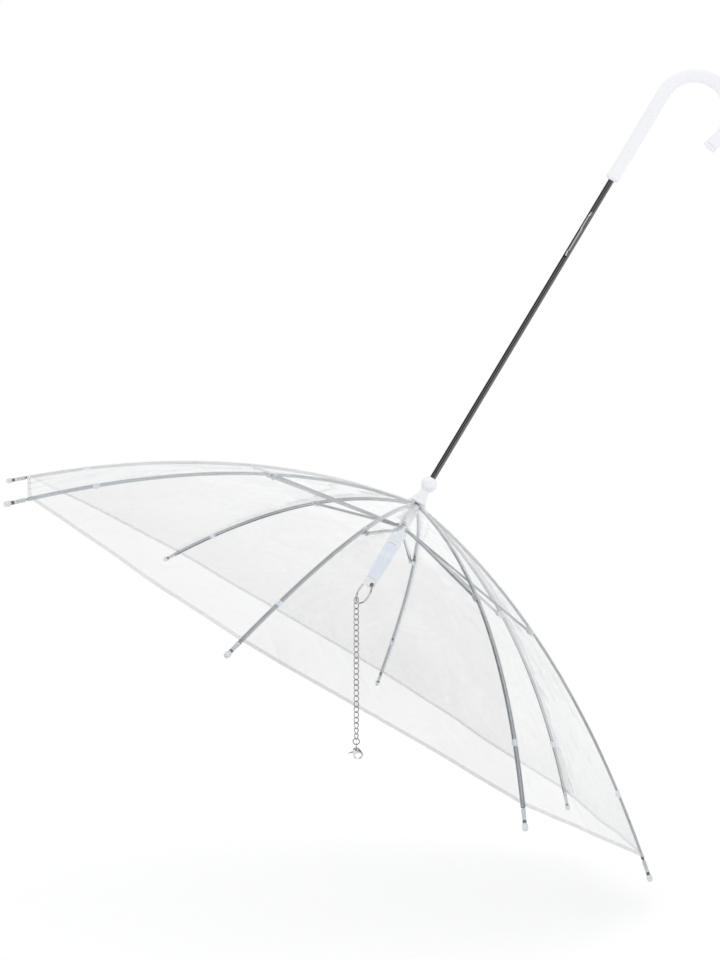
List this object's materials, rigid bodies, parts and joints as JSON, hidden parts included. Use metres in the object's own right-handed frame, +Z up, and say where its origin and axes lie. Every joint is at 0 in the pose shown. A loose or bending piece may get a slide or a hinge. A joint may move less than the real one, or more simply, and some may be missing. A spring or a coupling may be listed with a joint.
{
  "type": "pet umbrella",
  "caption": "Clear domed pet umbrella held from above by a hooked handle, with hinged ribs under a sliding crown and a leash chain with a swivel snap hanging inside the dome.",
  "frame": {"origin": "middle of the hand grip, on the shaft's axis", "axes": "+Z up as it is carried, with the shaft leaning 31 degrees from the vertical towards +X; the hook lies in the XZ plane"},
  "size_m": [0.6908, 0.6984, 0.741],
  "materials": {
    "white_plastic": "glossy",
    "frosted_plastic": "satin",
    "tip_plastic": "glossy",
    "shaft_chrome": "polished",
    "rib_steel": "satin",
    "chain_steel": "polished",
    "clear_film": "glossy"
  },
  "bodies": {
    "frame": {"shaft": "shaft_chrome", "handle": "white_plastic", "handle_end_plug": "white_plastic", "lower_hub": "frosted_plastic", "hub_tie_wire": "rib_steel", "lower_sleeve": "white_plastic", "sleeve_end_cap": "frosted_plastic"},
    "crown": {"crown_notch": "white_plastic", "crown_tie_wire": "rib_steel", "ball_grip": "white_plastic", "cap_washer": "frosted_plastic"},
    "rib_arm_1": {"rib_1": "rib_steel", "rib_tip_1": "tip_plastic", "canopy_panel_1": "clear_film"},
    "rib_arm_2": {"rib_2": "rib_steel", "rib_tip_2": "tip_plastic", "canopy_panel_2": "clear_film"},
    "rib_arm_3": {"rib_3": "rib_steel", "rib_tip_3": "tip_plastic", "canopy_panel_3": "clear_film"},
    "rib_arm_4": {"rib_4": "rib_steel", "rib_tip_4": "tip_plastic", "canopy_panel_4": "clear_film"},
    "rib_arm_5": {"rib_5": "rib_steel", "rib_tip_5": "tip_plastic", "canopy_panel_5": "clear_film"},
    "rib_arm_6": {"rib_6": "rib_steel", "rib_tip_6": "tip_plastic", "canopy_panel_6": "clear_film"},
    "rib_arm_7": {"rib_7": "rib_steel", "rib_tip_7": "tip_plastic", "canopy_panel_7": "clear_film"},
    "rib_arm_8": {"rib_8": "rib_steel", "rib_tip_8": "tip_plastic", "canopy_panel_8": "clear_film"},
    "stretcher_arm_1": {"stretcher_1": "rib_steel"},
    "stretcher_arm_2": {"stretcher_2": "rib_steel"},
    "stretcher_arm_3": {"stretcher_3": "rib_steel"},
    "stretcher_arm_4": {"stretcher_4": "rib_steel"},
    "stretcher_arm_5": {"stretcher_5": "rib_steel"},
    "stretcher_arm_6": {"stretcher_6": "rib_steel"},
    "stretcher_arm_7": {"stretcher_7": "rib_steel"},
    "stretcher_arm_8": {"stretcher_8": "rib_steel"},
    "open_catch": {"open_catch": "shaft_chrome"},
    "shut_catch": {"shut_catch": "shaft_chrome"},
    "split_ring": {"split_ring": "chain_steel"},
    "chain_1": {"chain_1": "chain_steel"},
    "chain_2": {"chain_2": "chain_steel"},
    "chain_3": {"chain_3": "chain_steel"},
    "chain_4": {"chain_4": "chain_steel"},
    "chain_5": {"chain_5": "chain_steel"},
    "chain_6": {"chain_6": "chain_steel"},
    "chain_7": {"chain_7": "chain_steel"},
    "jump_ring": {"jump_ring": "chain_steel"},
    "clasp_swivel": {"clasp_eye": "chain_steel"},
    "clasp": {"clasp_body": "chain_steel"},
    "clasp_lever": {"clasp_lever": "chain_steel"}
  },
  "joints": [
    {"name": "crown_slide", "type": "slide", "parent": "frame", "child": "crown", "axis": [0.515, 0, 0.8572], "range_m": [0, 0.2655], "deforming": ["canopy_panel_1", "canopy_panel_2", "canopy_panel_3", "canopy_panel_4", "canopy_panel_5", "canopy_panel_6", "canopy_panel_7", "canopy_panel_8"]},
    {"name": "rib_hinge_1", "type": "hinge", "parent": "crown", "child": "rib_arm_1", "pos_m": [-0.20191, -0.00108, -0.3465], "axis": [0.168, 0.9806, -0.1009], "range_deg": [0, 60.21]},
    {"name": "rib_hinge_2", "type": "hinge", "parent": "crown", "child": "rib_arm_2", "pos_m": [-0.20261, 0.00305, -0.34608], "axis": [-0.4756, 0.832, 0.2858], "range_deg": [0, 60.21]},
    {"name": "rib_hinge_3", "type": "hinge", "parent": "crown", "child": "rib_arm_3", "pos_m": [-0.20561, 0.00539, -0.34428], "axis": [-0.8406, 0.1959, 0.5051], "range_deg": [0, 60.21]},
    {"name": "rib_hinge_4", "type": "hinge", "parent": "crown", "child": "rib_arm_4", "pos_m": [-0.20915, 0.00458, -0.34215], "axis": [-0.7131, -0.5548, 0.4285], "range_deg": [0, 60.21]},
    {"name": "rib_hinge_5", "type": "hinge", "parent": "crown", "child": "rib_arm_5", "pos_m": [-0.21115, 0.00108, -0.34095], "axis": [-0.168, -0.9806, 0.1009], "range_deg": [0, 60.21]},
    {"name": "rib_hinge_6", "type": "hinge", "parent": "crown", "child": "rib_arm_6", "pos_m": [-0.21045, -0.00305, -0.34137], "axis": [0.4756, -0.832, -0.2858], "range_deg": [0, 60.21]},
    {"name": "rib_hinge_7", "type": "hinge", "parent": "crown", "child": "rib_arm_7", "pos_m": [-0.20745, -0.00539, -0.34317], "axis": [0.8406, -0.1959, -0.5051], "range_deg": [0, 60.21]},
    {"name": "rib_hinge_8", "type": "hinge", "parent": "crown", "child": "rib_arm_8", "pos_m": [-0.20391, -0.00458, -0.3453], "axis": [0.7131, 0.5548, -0.4285], "range_deg": [0, 60.21]},
    {"name": "stretcher_hinge_1", "type": "hinge", "parent": "frame", "child": "stretcher_arm_1", "pos_m": [-0.21427, -0.00108, -0.36707], "axis": [-0.168, -0.9806, 0.1009], "range_deg": [0, 86.3]},
    {"name": "stretcher_hinge_2", "type": "hinge", "parent": "frame", "child": "stretcher_arm_2", "pos_m": [-0.21497, 0.00305, -0.36665], "axis": [0.4756, -0.832, -0.2858], "range_deg": [0, 86.3]},
    {"name": "stretcher_hinge_3", "type": "hinge", "parent": "frame", "child": "stretcher_arm_3", "pos_m": [-0.21797, 0.00539, -0.36485], "axis": [0.8406, -0.1959, -0.5051], "range_deg": [0, 86.3]},
    {"name": "stretcher_hinge_4", "type": "hinge", "parent": "frame", "child": "stretcher_arm_4", "pos_m": [-0.22151, 0.00458, -0.36272], "axis": [0.7131, 0.5548, -0.4285], "range_deg": [0, 86.3]},
    {"name": "stretcher_hinge_5", "type": "hinge", "parent": "frame", "child": "stretcher_arm_5", "pos_m": [-0.22351, 0.00108, -0.36152], "axis": [0.168, 0.9806, -0.1009], "range_deg": [0, 86.3]},
    {"name": "stretcher_hinge_6", "type": "hinge", "parent": "frame", "child": "stretcher_arm_6", "pos_m": [-0.22281, -0.00305, -0.36194], "axis": [-0.4756, 0.832, 0.2858], "range_deg": [0, 86.3]},
    {"name": "stretcher_hinge_7", "type": "hinge", "parent": "frame", "child": "stretcher_arm_7", "pos_m": [-0.21982, -0.00539, -0.36374], "axis": [-0.8406, 0.1959, 0.5051], "range_deg": [0, 86.3]},
    {"name": "stretcher_hinge_8", "type": "hinge", "parent": "frame", "child": "stretcher_arm_8", "pos_m": [-0.21627, -0.00458, -0.36587], "axis": [-0.7131, -0.5548, 0.4285], "range_deg": [0, 86.3]},
    {"name": "open_catch_press", "type": "hinge", "parent": "frame", "child": "open_catch", "pos_m": [-0.17988, 0.0014, -0.29938], "axis": [-0.8572, 0, 0.515], "range_deg": [0, 3.6], "stiffness_Nm_per_rad": 0.2, "springref_deg": -20.05},
    {"name": "shut_catch_press", "type": "hinge", "parent": "frame", "child": "shut_catch", "pos_m": [-0.03858, -0.00135, -0.0635], "axis": [0.828, -0.2588, -0.4975], "range_deg": [0, 1.6], "stiffness_Nm_per_rad": 0.2, "springref_deg": -20.05},
    {"name": "ring_swing", "type": "hinge", "parent": "frame", "child": "split_ring", "pos_m": [-0.24933, 0, -0.41496], "axis": [0.4156, -0.8746, -0.2497], "range_deg": [-40, 0]},
    {"name": "chain_bend_1", "type": "hinge", "parent": "split_ring", "child": "chain_1", "pos_m": [-0.26195, 0.00472, -0.43088], "axis": [0, -1, 0], "range_deg": [-15, 12]},
    {"name": "chain_bend_2", "type": "hinge", "parent": "chain_1", "child": "chain_2", "pos_m": [-0.26195, 0.00472, -0.44903], "axis": [-1, 0, 0], "range_deg": [-20, 20]},
    {"name": "chain_bend_3", "type": "hinge", "parent": "chain_2", "child": "chain_3", "pos_m": [-0.26195, 0.00472, -0.46918], "axis": [0, -1, 0], "range_deg": [-30, 30]},
    {"name": "chain_bend_4", "type": "hinge", "parent": "chain_3", "child": "chain_4", "pos_m": [-0.26195, 0.00472, -0.48933], "axis": [-1, 0, 0], "range_deg": [-20, 20]},
    {"name": "chain_bend_5", "type": "hinge", "parent": "chain_4", "child": "chain_5", "pos_m": [-0.26195, 0.00472, -0.50948], "axis": [0, -1, 0], "range_deg": [-30, 30]},
    {"name": "chain_bend_6", "type": "hinge", "parent": "chain_5", "child": "chain_6", "pos_m": [-0.26195, 0.00472, -0.52963], "axis": [-1, 0, 0], "range_deg": [-20, 20]},
    {"name": "chain_bend_7", "type": "hinge", "parent": "chain_6", "child": "chain_7", "pos_m": [-0.26195, 0.00472, -0.54463], "axis": [0, -1, 0], "range_deg": [-30, 30]},
    {"name": "jump_ring_swing", "type": "hinge", "parent": "chain_7", "child": "jump_ring", "pos_m": [-0.26195, 0.00472, -0.55993], "axis": [0, -1, 0], "range_deg": [-30, 30]},
    {"name": "clasp_swing", "type": "hinge", "parent": "jump_ring", "child": "clasp_swivel", "pos_m": [-0.26195, 0.00472, -0.56458], "axis": [1, 0, 0], "range_deg": [-30, 30]},
    {"name": "clasp_spin", "type": "hinge", "parent": "clasp_swivel", "child": "clasp", "pos_m": [-0.26195, 0.00472, -0.56968], "axis": [0, 0, 1], "continuous": true},
    {"name": "clasp_lever_press", "type": "hinge", "parent": "clasp", "child": "clasp_lever", "pos_m": [-0.26025, 0.00472, -0.57113], "axis": [0, -1, 0], "range_deg": [0, 10], "stiffness_Nm_per_rad": 0.01, "springref_deg": -17.19}
  ],
  "couplings": [
    {"joint": "rib_hinge_1", "follows": "crown_slide", "rad_per_m": 3.9574},
    {"joint": "rib_hinge_2", "follows": "crown_slide", "rad_per_m": 3.9574},
    {"joint": "rib_hinge_3", "follows": "crown_slide", "rad_per_m": 3.9574},
    {"joint": "rib_hinge_4", "follows": "crown_slide", "rad_per_m": 3.9574},
    {"joint": "rib_hinge_5", "follows": "crown_slide", "rad_per_m": 3.9574},
    {"joint": "rib_hinge_6", "follows": "crown_slide", "rad_per_m": 3.9574},
    {"joint": "rib_hinge_7", "follows": "crown_slide", "rad_per_m": 3.9574},
    {"joint": "rib_hinge_8", "follows": "crown_slide", "rad_per_m": 3.9574},
    {"joint": "stretcher_hinge_1", "follows": "crown_slide", "rad_per_m": 5.6726},
    {"joint": "stretcher_hinge_2", "follows": "crown_slide", "rad_per_m": 5.6726},
    {"joint": "stretcher_hinge_3", "follows": "crown_slide", "rad_per_m": 5.6726},
    {"joint": "stretcher_hinge_4", "follows": "crown_slide", "rad_per_m": 5.6726},
    {"joint": "stretcher_hinge_5", "follows": "crown_slide", "rad_per_m": 5.6726},
    {"joint": "stretcher_hinge_6", "follows": "crown_slide", "rad_per_m": 5.6726},
    {"joint": "stretcher_hinge_7", "follows": "crown_slide", "rad_per_m": 5.6726},
    {"joint": "stretcher_hinge_8", "follows": "crown_slide", "rad_per_m": 5.6726}
  ]
}
